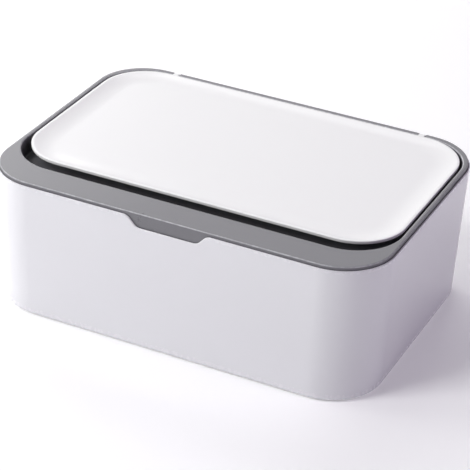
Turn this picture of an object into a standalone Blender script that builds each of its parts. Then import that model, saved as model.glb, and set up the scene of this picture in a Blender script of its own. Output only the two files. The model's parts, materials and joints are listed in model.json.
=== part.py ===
"""Reusable wipes box: a white tub, a grey lift-off cover and a hinged white lid.

Metres, +Z up. The long side lies along X and the front, with its finger notch,
faces -Y. The origin is on the floor under the middle of the tub.
"""
import math

import bmesh
import bpy
from mathutils import Matrix, Vector

# Driving dimensions of the whole box
LENGTH = 0.195
WIDTH = 0.140
CORNER_RADIUS = 0.026
TUB_TOP = 0.0684
SIDE_DRAFT = 0.0018

# Clearances: between pieces that sit on or in each other, and past a cut surface
FIT_GAP = 0.0003
CUT_OVERRUN = 0.002

CORNER_STEPS = 12
ROUND_STEPS = 4
PIN_SIDES = 12


def outline(half_length, half_width, radius, z, centre_y=0.0, side_steps=1):
    """Points of a rounded rectangle at height z, anticlockwise from its right side."""
    corners = []
    for quarter, (side_x, side_y) in enumerate(((1, 1), (-1, 1), (-1, -1), (1, -1))):
        for step in range(CORNER_STEPS + 1):
            angle = math.pi / 2 * (quarter + step / CORNER_STEPS)
            x = side_x * (half_length - radius) + radius * math.cos(angle)
            y = side_y * (half_width - radius) + radius * math.sin(angle)
            corners.append(Vector((x, centre_y + y, z)))
    points = []
    for index, point in enumerate(corners):
        points.append(point)
        if index % (CORNER_STEPS + 1) == CORNER_STEPS:
            following = corners[(index + 1) % len(corners)]
            points += [point.lerp(following, step / side_steps) for step in range(1, side_steps)]
    return points


def arc(inset, z, radius, start, end, steps=ROUND_STEPS):
    """Places (inset, height) of a rounding; 0 degrees faces outwards and 90 degrees faces up."""
    for step in range(steps + 1):
        angle = math.radians(start + (end - start) * step / steps)
        yield inset - radius * math.cos(angle), z + radius * math.sin(angle)


def circle(radius, x, y, z, sides):
    """Points of an upright circle square to X."""
    turns = [2 * math.pi * side / sides for side in range(sides)]
    return [Vector((x, y + radius * math.cos(turn), z + radius * math.sin(turn))) for turn in turns]


def disc(radius, x, y, z, sides):
    """Points of a level circle."""
    turns = [2 * math.pi * side / sides for side in range(sides)]
    return [Vector((x + radius * math.cos(turn), y + radius * math.sin(turn), z)) for turn in turns]


def loft(name, loops, ring=False):
    """Skin a row of outlines with equal counts; a ring closes on itself, a plain stack is capped."""
    shape = bmesh.new()
    rows = [[shape.verts.new(point) for point in loop] for loop in loops]
    pairs = list(zip(rows, rows[1:]))
    if ring:
        pairs.append((rows[-1], rows[0]))
    else:
        shape.faces.new(rows[0])
        shape.faces.new(rows[-1])
    for lower, upper in pairs:
        for index, corner in enumerate(lower):
            following = (index + 1) % len(lower)
            shape.faces.new((corner, lower[following], upper[following], upper[index]))
    bmesh.ops.recalc_face_normals(shape, faces=shape.faces)
    mesh = bpy.data.meshes.new(name)
    shape.to_mesh(mesh)
    shape.free()
    return mesh


def add_piece(name, mesh, parent, material, origin=None):
    """Hang a mesh drawn in world places on its parent, with its own origin at a given point."""
    carrier = Vector() if parent is None else world_place(parent)
    origin = carrier if origin is None else Vector(origin)
    mesh.transform(Matrix.Translation(-origin))
    piece = bpy.data.objects.new(name, mesh)
    bpy.context.scene.collection.objects.link(piece)
    piece.parent = parent
    piece.location = origin - carrier
    if material:
        mesh.materials.append(material)
        mesh.shade_smooth()
        mesh.set_sharp_from_angle(angle=math.radians(35))
    return piece


def world_place(item):
    """Where an empty stands, summed up through its parents, none of which is turned."""
    place = item.location.copy()
    return place + world_place(item.parent) if item.parent else place


def add_axis(name, parent, place):
    """An empty on a joint's axis, which carries the pieces that move there."""
    axis = bpy.data.objects.new(name, None)
    bpy.context.scene.collection.objects.link(axis)
    axis.parent = parent
    axis.location = Vector(place) - (world_place(parent) if parent else Vector())
    return axis


def combine(target, name, mesh, operation="DIFFERENCE"):
    """Cut a mesh out of a piece, or join it on, with a Boolean that stays live."""
    tool = add_piece(name, mesh, target.parent, None)
    tool.hide_render = True
    tool.display_type = "WIRE"
    modifier = target.modifiers.new(name, "BOOLEAN")
    modifier.operation = operation
    modifier.solver = "EXACT"
    modifier.object = tool


def finish(name, colour, roughness, metallic=0.0):
    """A Principled material; colour is linear."""
    material = bpy.data.materials.new(name)
    material.use_nodes = True
    surface = material.node_tree.nodes["Principled BSDF"]
    surface.inputs["Base Color"].default_value = (*colour, 1.0)
    surface.inputs["Roughness"].default_value = roughness
    surface.inputs["Metallic"].default_value = metallic
    material.diffuse_color = (*colour, 1.0)
    return material


for leftover in list(bpy.data.objects):
    bpy.data.objects.remove(leftover, do_unlink=True)

WHITE_PLASTIC = finish("white_plastic", (0.84, 0.84, 0.86), 0.22)
GREY_PLASTIC = finish("grey_plastic", (0.30, 0.30, 0.32), 0.38)
SOFT_GREY = finish("soft_grey_rubber", (0.42, 0.42, 0.44), 0.60)
CLEAR_SILICONE = finish("milky_silicone", (0.72, 0.72, 0.72), 0.50)
FOOT_RUBBER = finish("foot_rubber", (0.20, 0.20, 0.21), 0.75)
PIN_STEEL = finish("pin_steel", (0.60, 0.60, 0.61), 0.25, metallic=1.0)

# White tub: one thin-walled moulding. Its top edge is rebated to a thin lip, and the cover
# drops inside the lip onto the ledge. A finger notch in the front lip bares the cover's side.
WALL = 0.0024
BASE = 0.0022
UNDERSIDE = 0.0008
BASE_FILLET = 0.0015
FLOOR_FILLET = 0.003
LIP = 0.0006
LIP_DEPTH = 0.008
LIP_EDGE = 0.0003
LEDGE_Z = TUB_TOP - LIP_DEPTH
NOTCH_TOP_HALF = 0.0209
NOTCH_FLOOR_HALF = 0.0136
NOTCH_DEPTH = 0.0052
NOTCH_STEPS = 10


def tub_outline(inset, z):
    """The tub's outer outline at height z, drawn in by inset and by the sides' draft."""
    drawn_in = inset + SIDE_DRAFT * max(0.0, TUB_TOP - z) / TUB_TOP
    return outline(LENGTH / 2 - drawn_in, WIDTH / 2 - drawn_in, CORNER_RADIUS - inset, z)


def notch_profile(y):
    """Outline of the finger notch square to Y: S-shaped sides down to a level floor."""
    run = NOTCH_TOP_HALF - NOTCH_FLOOR_HALF
    side = []
    for step in range(NOTCH_STEPS + 1):
        share = step / NOTCH_STEPS
        depth = NOTCH_DEPTH * (1 - math.cos(math.pi * share)) / 2
        side.append((NOTCH_TOP_HALF - run * share, TUB_TOP - depth))
    side.insert(0, (NOTCH_TOP_HALF + CUT_OVERRUN, TUB_TOP))
    side.insert(0, (NOTCH_TOP_HALF + CUT_OVERRUN, TUB_TOP + CUT_OVERRUN))
    mirrored = [(-x, z) for x, z in reversed(side)]
    return [Vector((x, y, z)) for x, z in side + mirrored]


def make_tub():
    floor_z = UNDERSIDE + BASE
    profile = list(arc(BASE_FILLET, UNDERSIDE + BASE_FILLET, BASE_FILLET, -90, 0))
    profile += arc(LIP_EDGE, TUB_TOP - LIP_EDGE, LIP_EDGE, 0, 90, steps=2)
    profile += [(LIP, TUB_TOP), (LIP, LEDGE_Z), (WALL, LEDGE_Z)]
    profile += arc(WALL + FLOOR_FILLET, floor_z + FLOOR_FILLET, FLOOR_FILLET, 0, -90)
    mesh = loft("tub_shell", [tub_outline(inset, z) for inset, z in profile])
    tub = add_piece("tub_shell", mesh, None, WHITE_PLASTIC)
    front = -WIDTH / 2
    notch = [notch_profile(front - CUT_OVERRUN), notch_profile(front + WALL)]
    combine(tub, "notch_cutter", loft("notch_cutter", notch))
    return tub


# Four anti-slip feet: rubber discs set in shallow round recesses under the tub's corners
FOOT_RADIUS = 0.005
FOOT_RECESS = 0.0008
FOOT_FROM_SIDE = 0.018
FOOT_CHAMFER = 0.0004
FOOT_SIDES = 24


def make_feet(tub):
    reach_x = LENGTH / 2 - FOOT_FROM_SIDE
    reach_y = WIDTH / 2 - FOOT_FROM_SIDE
    foot_top = UNDERSIDE + FOOT_RECESS - FIT_GAP
    for end_x, end_y, place in ((-1, -1, "front_left"), (1, -1, "front_right"),
                                (-1, 1, "rear_left"), (1, 1, "rear_right")):
        x = end_x * reach_x
        y = end_y * reach_y
        recess = [disc(FOOT_RADIUS + FIT_GAP, x, y, z, FOOT_SIDES)
                  for z in (UNDERSIDE - CUT_OVERRUN, UNDERSIDE + FOOT_RECESS)]
        combine(tub, f"recess_{place}", loft(f"recess_{place}", recess))
        pad = [disc(FOOT_RADIUS - FOOT_CHAMFER, x, y, 0.0, FOOT_SIDES),
               disc(FOOT_RADIUS, x, y, FOOT_CHAMFER, FOOT_SIDES),
               disc(FOOT_RADIUS, x, y, foot_top, FOOT_SIDES)]
        add_piece(f"foot_{place}", loft(f"foot_{place}", pad), tub, FOOT_RUBBER, (x, y, 0.0))


# Where the cover and its lid lie. The rim stands inside the tub's lip and rises above it. The
# hinge line lies in the rear rim, and the lid and the well it closes are set out from there.
RIM_INSET = LIP + FIT_GAP
RIM_RISE = 0.0017
RIM_TOP = TUB_TOP + RIM_RISE
RIM_HALF_LENGTH = LENGTH / 2 - RIM_INSET
RIM_HALF_WIDTH = WIDTH / 2 - RIM_INSET
BAND_FRONT = 0.0162
BAND_SIDE = 0.0022

KNUCKLE_RADIUS = 0.0014
KNUCKLE_WIDTH = 0.003
KNUCKLE_FROM_END = 0.0315
KNUCKLE_X = LENGTH / 2 - KNUCKLE_FROM_END
HINGE_BELOW_RIM = 0.0013
LID_BEFORE_HINGE = 0.002
HINGE_Y = RIM_HALF_WIDTH - KNUCKLE_RADIUS
HINGE_Z = RIM_TOP - HINGE_BELOW_RIM
PIN_RADIUS = 0.00055
PIN_CLEARANCE = 0.0001
PIN_GRIP = 0.003

LID_GAP_FRONT = 0.0071
LID_GAP_SIDE = 0.0013
LID_GAP_REAR = 0.0006
LID_PROUD = 0.0002
LID_TOP = RIM_TOP + LID_PROUD
LID_REAR = HINGE_Y - LID_BEFORE_HINGE
WELL_FRONT = BAND_FRONT - RIM_HALF_WIDTH
WELL_REAR = LID_REAR + LID_GAP_REAR
WELL_HALF_LENGTH = RIM_HALF_LENGTH - BAND_SIDE
WELL_HALF_WIDTH = (WELL_REAR - WELL_FRONT) / 2
WELL_Y = (WELL_REAR + WELL_FRONT) / 2
WELL_RADIUS = 0.0243
WELL_DEPTH = 0.009
DECK_TOP = RIM_TOP - WELL_DEPTH
DECK = 0.0018
DECK_UNDERSIDE = DECK_TOP - DECK
LID_FRONT = WELL_FRONT + LID_GAP_FRONT
LID_HALF_LENGTH = WELL_HALF_LENGTH - LID_GAP_SIDE
LID_HALF_WIDTH = (LID_REAR - LID_FRONT) / 2
LID_Y = (LID_REAR + LID_FRONT) / 2
LID_RADIUS = 0.024
LID_THICKNESS = 0.0015
LID_BORDER = 0.0013
DISH_RUN = 0.0155
DISH_DEPTH = 0.0013

# The inner plate covers the dish's level middle. Its rib holds the lid's seal, which closes
# on a raised collar of the deck, round the mouth.
SEAL_RADIUS = 0.016
SEAL_WIDTH = 0.0016
SEAL_PROUD = 0.0006
LINER_THICKNESS = 0.0012
LINER_RIB = 0.0012
LINER_RIB_DEPTH = 0.0016
SEAL_FROM_LID_EDGE = LID_BORDER + DISH_RUN + LINER_RIB + FIT_GAP + SEAL_WIDTH / 2
SEAL_HALF_LENGTH = LID_HALF_LENGTH - SEAL_FROM_LID_EDGE
SEAL_HALF_WIDTH = LID_HALF_WIDTH - SEAL_FROM_LID_EDGE
LINER_TOP = LID_TOP - DISH_DEPTH - LID_THICKNESS - FIT_GAP
LINER_UNDERSIDE = LINER_TOP - LINER_THICKNESS
LINER_RIB_LOW = LINER_UNDERSIDE - LINER_RIB_DEPTH
SEAL_LOW = LINER_RIB_LOW - SEAL_PROUD
COLLAR_TOP = SEAL_LOW - FIT_GAP
COLLAR_WIDTH = 0.0024
COLLAR_EDGE = 0.0004

# The mouth is a rounded hole in the deck, filled by a soft slotted insert
MOUTH_HALF_LENGTH = 0.048
MOUTH_HALF_WIDTH = 0.021
MOUTH_RADIUS = 0.015
MOUTH_SIDE_STEPS = 8


def well_outline(outset, z):
    """The well's outline at height z, let out by outset."""
    return outline(WELL_HALF_LENGTH + outset, WELL_HALF_WIDTH + outset, WELL_RADIUS + outset, z, WELL_Y)


def seal_outline(outset, z):
    """The path of the lid's seal and its collar at height z, let out by outset."""
    return outline(SEAL_HALF_LENGTH + outset, SEAL_HALF_WIDTH + outset, SEAL_RADIUS + outset, z, LID_Y)


def mouth_outline(outset, z, side_steps=1):
    """The mouth hole's outline at height z, let out by outset."""
    return outline(MOUTH_HALF_LENGTH + outset, MOUTH_HALF_WIDTH + outset, MOUTH_RADIUS + outset, z,
                   LID_Y, side_steps)


# Grey cover: one moulding. A rim with a wide front band, a sunk well with a deck, a collar
# and the mouth hole, and below the rim a plug wall with a groove for the cover's seal.
RIM_EDGE = 0.0008
WELL_EDGE = 0.0004
WELL_FILLET = 0.0012
PLUG_GAP = 0.001
PLUG_WALL = 0.0018
PLUG_DEPTH = 0.0075
PLUG_TAPER = 0.0006
GROOVE_DEPTH = 0.0008
GROOVE_BELOW_FLANGE = 0.0022
GROOVE_WIDTH = 0.0022
FLANGE_Z = LEDGE_Z + FIT_GAP
PLUG_INSET = WALL + PLUG_GAP
PLUG_LOW = FLANGE_Z - PLUG_DEPTH
GROOVE_TOP = FLANGE_Z - GROOVE_BELOW_FLANGE
GROOVE_LOW = GROOVE_TOP - GROOVE_WIDTH


def make_cover(axis):
    loops = [tub_outline(RIM_INSET, FLANGE_Z)]
    loops += [tub_outline(RIM_INSET + inset, z)
              for inset, z in arc(RIM_EDGE, RIM_TOP - RIM_EDGE, RIM_EDGE, 0, 90)]
    loops += [well_outline(inset, z)
              for inset, z in arc(WELL_EDGE, RIM_TOP - WELL_EDGE, WELL_EDGE, 90, 0, steps=2)]
    loops += [well_outline(-inset, z)
              for inset, z in arc(WELL_FILLET, DECK_TOP + WELL_FILLET, WELL_FILLET, 0, -90, steps=3)]
    half_collar = COLLAR_WIDTH / 2
    loops.append(seal_outline(half_collar, DECK_TOP))
    loops += [seal_outline(half_collar - inset, z)
              for inset, z in arc(COLLAR_EDGE, COLLAR_TOP - COLLAR_EDGE, COLLAR_EDGE, 0, 90, steps=2)]
    loops += [seal_outline(inset - half_collar, z)
              for inset, z in arc(COLLAR_EDGE, COLLAR_TOP - COLLAR_EDGE, COLLAR_EDGE, 90, 0, steps=2)]
    loops.append(seal_outline(-half_collar, DECK_TOP))
    loops += [mouth_outline(0.0, DECK_TOP), mouth_outline(0.0, DECK_UNDERSIDE)]
    loops += [tub_outline(PLUG_INSET + PLUG_WALL, DECK_UNDERSIDE),
              tub_outline(PLUG_INSET + PLUG_WALL, PLUG_LOW),
              tub_outline(PLUG_INSET + PLUG_TAPER, PLUG_LOW),
              tub_outline(PLUG_INSET, GROOVE_LOW),
              tub_outline(PLUG_INSET + GROOVE_DEPTH, GROOVE_LOW),
              tub_outline(PLUG_INSET + GROOVE_DEPTH, GROOVE_TOP),
              tub_outline(PLUG_INSET, GROOVE_TOP),
              tub_outline(PLUG_INSET, FLANGE_Z)]
    return add_piece("cover_frame", loft("cover_frame", loops, ring=True), axis, GREY_PLASTIC)


# Hinge seats in the rear rim: a slot for each knuckle of the lid, and a blind pin hole
# through both of its sides
SLOT_FLOOR_GAP = 0.0004


def box_loops(low, high):
    """Two level rectangles, the bottom and top of an upright box."""
    corners = ((low[0], low[1]), (high[0], low[1]), (high[0], high[1]), (low[0], high[1]))
    return [[Vector((x, y, z)) for x, y in corners] for z in (low[2], high[2])]


def cut_hinge_seats(cover):
    slot_half = KNUCKLE_WIDTH / 2 + FIT_GAP
    slot_floor = HINGE_Z - KNUCKLE_RADIUS - SLOT_FLOOR_GAP
    hole_half = slot_half + PIN_GRIP + FIT_GAP
    hole_radius = PIN_RADIUS + PIN_CLEARANCE
    for end, place in ((-1, "left"), (1, "right")):
        x = end * KNUCKLE_X
        slot = box_loops((x - slot_half, WELL_REAR - WELL_FILLET, slot_floor),
                         (x + slot_half, RIM_HALF_WIDTH + CUT_OVERRUN, RIM_TOP + CUT_OVERRUN))
        combine(cover, f"slot_{place}", loft(f"slot_{place}", slot))
        hole = [circle(hole_radius, x + side * hole_half, HINGE_Y, HINGE_Z, PIN_SIDES)
                for side in (-1, 1)]
        combine(cover, f"pin_hole_{place}", loft(f"pin_hole_{place}", hole))


# The wide front band is cored out from below, in cells between stiffening ribs
BAND_THICKNESS = 0.002
WELL_WALL = 0.0018
CORE_HALF_LENGTH = 0.066
CORE_RIB = 0.0016
CORE_CELLS = 4


def core_front_band(cover):
    pitch = 2 * CORE_HALF_LENGTH / CORE_CELLS
    front = PLUG_INSET + PLUG_WALL + SIDE_DRAFT - WIDTH / 2
    rear = WELL_FRONT - WELL_WALL
    for cell in range(CORE_CELLS):
        left = pitch * cell - CORE_HALF_LENGTH
        core = box_loops((left + CORE_RIB / 2, front, DECK_UNDERSIDE - CUT_OVERRUN),
                         (left + pitch - CORE_RIB / 2, rear, RIM_TOP - BAND_THICKNESS))
        combine(cover, f"core_{cell + 1}", loft(f"core_{cell + 1}", core))


# Silicone ring in the plug's groove, which seals the cover in the tub
COVER_SEAL_NOSE = 0.0005


def make_cover_seal(axis):
    low = GROOVE_LOW + FIT_GAP
    high = GROOVE_TOP - FIT_GAP
    middle = (low + high) / 2
    outer = WALL + FIT_GAP
    inner = PLUG_INSET + GROOVE_DEPTH - FIT_GAP
    section = [(inner, low), (outer + COVER_SEAL_NOSE, low), (outer, middle),
               (outer + COVER_SEAL_NOSE, high), (inner, high)]
    mesh = loft("cover_seal", [tub_outline(inset, z) for inset, z in section], ring=True)
    return add_piece("cover_seal", mesh, axis, CLEAR_SILICONE)


# Soft mouth insert: snaps through the deck's hole between a flange above and a barb below.
# Its crown rises to a wavy slot that grips the wipe being pulled out.
INSERT_FLANGE = 0.0028
INSERT_THICKNESS = 0.0012
INSERT_BARB = 0.0008
INSERT_BARB_DEPTH = 0.0016
INSERT_WALL = 0.0016
INSERT_CROWN = 0.0011
SLOT_HALF_LENGTH = 0.034
SLOT_HALF_WIDTH = 0.0048
SLOT_END_RADIUS = 0.0046
SLOT_WAVE = 0.0011
SLOT_WAVES = 2.5
CROWN_STEPS = 4


def slot_outline(z):
    """The slot's outline at height z: a long round-ended hole with a wave along it."""
    points = outline(SLOT_HALF_LENGTH, SLOT_HALF_WIDTH, SLOT_END_RADIUS, z, LID_Y, MOUTH_SIDE_STEPS)
    for point in points:
        point.y += SLOT_WAVE * math.cos(math.pi * SLOT_WAVES * point.x / SLOT_HALF_LENGTH)
    return points


def crown_loops(edge, slot):
    """Outlines that climb from the insert's edge to its slot, steep first and level at the slot."""
    loops = []
    for step in range(1, CROWN_STEPS):
        share = step / CROWN_STEPS
        rise_share = math.sin(math.pi / 2 * share)
        loop = [start.lerp(end, share) for start, end in zip(edge, slot)]
        for point, start, end in zip(loop, edge, slot):
            point.z = start.z + (end.z - start.z) * rise_share
        loops.append(loop)
    return loops


def make_mouth_insert(axis):
    flange_low = DECK_TOP + FIT_GAP
    flange_top = flange_low + INSERT_THICKNESS
    slot_top = flange_top + INSERT_CROWN
    barb_top = DECK_UNDERSIDE - FIT_GAP
    barb_low = barb_top - INSERT_BARB_DEPTH
    waist = -FIT_GAP

    def mouth(outset, z):
        return mouth_outline(outset, z, MOUTH_SIDE_STEPS)

    top_edge = mouth(INSERT_FLANGE - INSERT_THICKNESS / 2, flange_top)
    inner_edge = mouth(waist - INSERT_WALL, flange_top - INSERT_THICKNESS)
    loops = [mouth(INSERT_FLANGE, flange_low),
             mouth(INSERT_FLANGE, flange_top - INSERT_THICKNESS / 2),
             top_edge]
    loops += crown_loops(top_edge, slot_outline(slot_top))
    loops += [slot_outline(slot_top), slot_outline(slot_top - INSERT_THICKNESS)]
    loops += reversed(crown_loops(inner_edge, slot_outline(slot_top - INSERT_THICKNESS)))
    loops += [inner_edge,
              mouth(waist - INSERT_WALL, barb_low),
              mouth(waist, barb_low),
              mouth(INSERT_BARB, barb_top),
              mouth(waist, barb_top),
              mouth(waist, flange_low)]
    return add_piece("mouth_insert", loft("mouth_insert", loops, ring=True), axis, SOFT_GREY)


# Steel hinge pins, one through each knuckle, gripped by the rim on both sides of the slot
PIN_CHAMFER = 0.00015


def make_pins(axis):
    half = KNUCKLE_WIDTH / 2 + FIT_GAP + PIN_GRIP
    for end, place in ((-1, "left"), (1, "right")):
        x = end * KNUCKLE_X
        stations = ((-half, PIN_RADIUS - PIN_CHAMFER), (PIN_CHAMFER - half, PIN_RADIUS),
                    (half - PIN_CHAMFER, PIN_RADIUS), (half, PIN_RADIUS - PIN_CHAMFER))
        loops = [circle(radius, x + along, HINGE_Y, HINGE_Z, PIN_SIDES) for along, radius in stations]
        name = f"hinge_pin_{place}"
        add_piece(name, loft(name, loops), axis, PIN_STEEL, (x, HINGE_Y, HINGE_Z))


# White lid: a thin plate with a narrow flat border and a shallow dished middle, and a
# knuckle on an arm at each end of its rear edge
LID_EDGE = 0.0004
LID_UNDERCUT = 0.0006
DISH_STEPS = 5
ARM_ROOT = 0.0011
ARM_SKIN = 0.00015
KNUCKLE_STEPS = 10


def lid_outline(inset, z):
    """The lid's outline at height z, drawn in by inset."""
    return outline(LID_HALF_LENGTH - inset, LID_HALF_WIDTH - inset, LID_RADIUS - inset, z, LID_Y)


def dish_places(top):
    """Places (inset, height) down the dish, steepest at the border and level at its foot."""
    for step in range(DISH_STEPS + 1):
        share = step / DISH_STEPS
        yield LID_BORDER + DISH_RUN * share, top - DISH_DEPTH * (1 - (1 - share) ** 2)


def knuckle_profile(x):
    """Side view of an arm and its knuckle: two places inside the lid's edge, and a round end."""
    root_y = LID_REAR - ARM_ROOT
    points = [Vector((x, root_y, LID_TOP - ARM_SKIN))]
    for step in range(KNUCKLE_STEPS + 1):
        turn = math.pi * (0.5 - step / KNUCKLE_STEPS)
        points.append(Vector((x, HINGE_Y + KNUCKLE_RADIUS * math.cos(turn),
                              HINGE_Z + KNUCKLE_RADIUS * math.sin(turn))))
    points.append(Vector((x, root_y, LID_TOP - LID_THICKNESS + ARM_SKIN)))
    return points


def make_lid(axis):
    underside = LID_TOP - LID_THICKNESS
    places = list(arc(LID_EDGE, LID_TOP - LID_EDGE, LID_EDGE, 0, 90, steps=3))
    places += dish_places(LID_TOP)
    below = [(0.0, underside + LID_UNDERCUT), (LID_UNDERCUT, underside)]
    below += dish_places(underside)
    loops = [lid_outline(inset, z) for inset, z in reversed(below)]
    loops += [lid_outline(inset, z) for inset, z in places]
    lid = add_piece("lid_shell", loft("lid_shell", loops), axis, WHITE_PLASTIC)
    hole_radius = PIN_RADIUS + PIN_CLEARANCE
    for end, place in ((-1, "left"), (1, "right")):
        x = end * KNUCKLE_X
        sides = (x - KNUCKLE_WIDTH / 2, x + KNUCKLE_WIDTH / 2)
        arm = [knuckle_profile(side) for side in sides]
        combine(lid, f"knuckle_{place}", loft(f"knuckle_{place}", arm), "UNION")
        ends = (sides[0] - CUT_OVERRUN, sides[1] + CUT_OVERRUN)
        hole = [circle(hole_radius, end_x, HINGE_Y, HINGE_Z, PIN_SIDES) for end_x in ends]
        combine(lid, f"knuckle_hole_{place}", loft(f"knuckle_hole_{place}", hole))
    return lid


# Inner lid plate under the dish, with two ribs that hold the lid's silicone seal
def make_liner(axis):
    groove = SEAL_WIDTH / 2 + FIT_GAP
    rim = groove + LINER_RIB
    places = [(-rim, LINER_UNDERSIDE), (-rim, LINER_RIB_LOW), (-groove, LINER_RIB_LOW),
              (-groove, LINER_UNDERSIDE), (groove, LINER_UNDERSIDE), (groove, LINER_RIB_LOW),
              (rim, LINER_RIB_LOW), (rim, LINER_TOP)]
    mesh = loft("lid_liner", [seal_outline(outset, z) for outset, z in places])
    return add_piece("lid_liner", mesh, axis, GREY_PLASTIC)


def make_lid_seal(axis):
    half = SEAL_WIDTH / 2
    top = LINER_UNDERSIDE - FIT_GAP
    places = [(-half, top), (half, top), (half, SEAL_LOW + half), (0.0, SEAL_LOW), (-half, SEAL_LOW + half)]
    mesh = loft("lid_seal", [seal_outline(outset, z) for outset, z in places], ring=True)
    return add_piece("lid_seal", mesh, axis, CLEAR_SILICONE)


tub_piece = make_tub()
make_feet(tub_piece)
cover_axis = add_axis("cover_lift_axis", None, (0.0, 0.0, LEDGE_Z))
cover_piece = make_cover(cover_axis)
cut_hinge_seats(cover_piece)
core_front_band(cover_piece)
make_cover_seal(cover_axis)
make_mouth_insert(cover_axis)
make_pins(cover_axis)
lid_axis = add_axis("lid_hinge_axis", cover_axis, (0.0, HINGE_Y, HINGE_Z))
make_lid(lid_axis)
make_liner(lid_axis)
make_lid_seal(lid_axis)
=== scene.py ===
import json
import math

import bmesh
import bpy
from mathutils import Matrix, Vector

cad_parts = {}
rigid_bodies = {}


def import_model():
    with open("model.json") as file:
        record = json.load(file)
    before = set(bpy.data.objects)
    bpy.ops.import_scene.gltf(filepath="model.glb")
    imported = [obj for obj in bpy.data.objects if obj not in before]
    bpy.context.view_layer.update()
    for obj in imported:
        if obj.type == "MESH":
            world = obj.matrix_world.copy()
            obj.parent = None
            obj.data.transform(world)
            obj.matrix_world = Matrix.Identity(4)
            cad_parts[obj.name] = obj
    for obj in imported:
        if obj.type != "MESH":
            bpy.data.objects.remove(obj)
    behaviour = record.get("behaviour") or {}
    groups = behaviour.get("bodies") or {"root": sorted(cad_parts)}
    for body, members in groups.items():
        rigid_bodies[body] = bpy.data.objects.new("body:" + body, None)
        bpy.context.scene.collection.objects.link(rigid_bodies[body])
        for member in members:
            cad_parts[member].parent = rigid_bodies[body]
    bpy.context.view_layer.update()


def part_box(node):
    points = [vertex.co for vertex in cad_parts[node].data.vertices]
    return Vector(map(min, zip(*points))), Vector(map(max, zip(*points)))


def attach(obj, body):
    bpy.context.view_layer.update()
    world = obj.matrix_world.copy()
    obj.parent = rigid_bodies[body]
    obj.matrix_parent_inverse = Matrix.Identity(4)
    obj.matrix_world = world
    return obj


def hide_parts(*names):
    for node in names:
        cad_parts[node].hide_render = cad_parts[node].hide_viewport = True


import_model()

# Camera. It stands in front and to the right, a little under a metre off, and looks down about
# 30 degrees through a long lens. It is turned a few degrees about its own line of sight.
CAMERA_TURN = math.radians(24.55)
CAMERA_RISE = math.radians(29.58)
CAMERA_ROLL = math.radians(2.77)
CAMERA_DISTANCE = 0.941
CAMERA_AIM = Vector((0.0012, 0.0, 0.0297))
FOCUS_PIXELS = 1989.5
PHOTO_PIXELS = 470
SENSOR_MM = 36.0

away = Vector((math.sin(CAMERA_TURN) * math.cos(CAMERA_RISE),
               -math.cos(CAMERA_TURN) * math.cos(CAMERA_RISE),
               math.sin(CAMERA_RISE)))
level = Vector((math.cos(CAMERA_TURN), math.sin(CAMERA_TURN), 0.0))
upright = away.cross(level)
right = math.cos(CAMERA_ROLL) * level + math.sin(CAMERA_ROLL) * upright
up = math.cos(CAMERA_ROLL) * upright - math.sin(CAMERA_ROLL) * level
bpy.ops.object.camera_add()
camera = bpy.context.object
camera.name = "camera"
camera.data.sensor_width = SENSOR_MM
camera.data.lens = SENSOR_MM * FOCUS_PIXELS / PHOTO_PIXELS
camera.matrix_world = (Matrix.Translation(CAMERA_AIM + away * CAMERA_DISTANCE)
                       @ Matrix((right, up, away)).transposed().to_4x4())
bpy.context.scene.camera = camera
bpy.context.scene.view_settings.view_transform = "Standard"


# Studio. A pale paper floor that glows a little, and more further off, so that low views end in
# white too. A dim room and ten soft boxes light it. The two classes that write its material
# write all the others too.
FLOOR_SIZE = 40.0
FLOOR_COLOUR = (0.94, 0.94, 0.945)
FLOOR_COLOUR_WORN = (0.91, 0.91, 0.915)
FLOOR_GLOW = (0.16, 0.16, 0.16)
FLOOR_GLOW_FAR = (0.7, 0.7, 0.7)
FLOOR_NEAR = 0.6
FLOOR_FAR = 1.6
FLOOR_CLOUD = 0.4
ROOM_COLOUR = (0.93, 0.93, 1.0)
ROOM_STRENGTH = 0.05


class Shade:
    """A value on its way through a material."""

    def __init__(self, paint, socket):
        self.paint = paint
        self.socket = socket

    def math(self, operation, first, second=0.0):
        return self.paint.node("Math", {"operation": operation}, {0: first, 1: second})

    def __add__(self, other):
        return self.math("ADD", self, other)

    def __sub__(self, other):
        return self.math("SUBTRACT", self, other)

    def __mul__(self, other):
        return self.math("MULTIPLY", self, other)

    def __abs__(self):
        return self.math("ABSOLUTE", self)

    __radd__ = __add__
    __rmul__ = __mul__

    def over(self, other):
        """The larger of two values."""
        return self.math("MAXIMUM", self, other)

    def fade(self, start, end):
        """0 up to start, 1 from end on, and smooth between them; start may be the larger."""
        values = {"Value": self, "From Min": start, "From Max": end}
        return self.paint.node("MapRange", {"interpolation_type": "SMOOTHSTEP"}, values)


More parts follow.
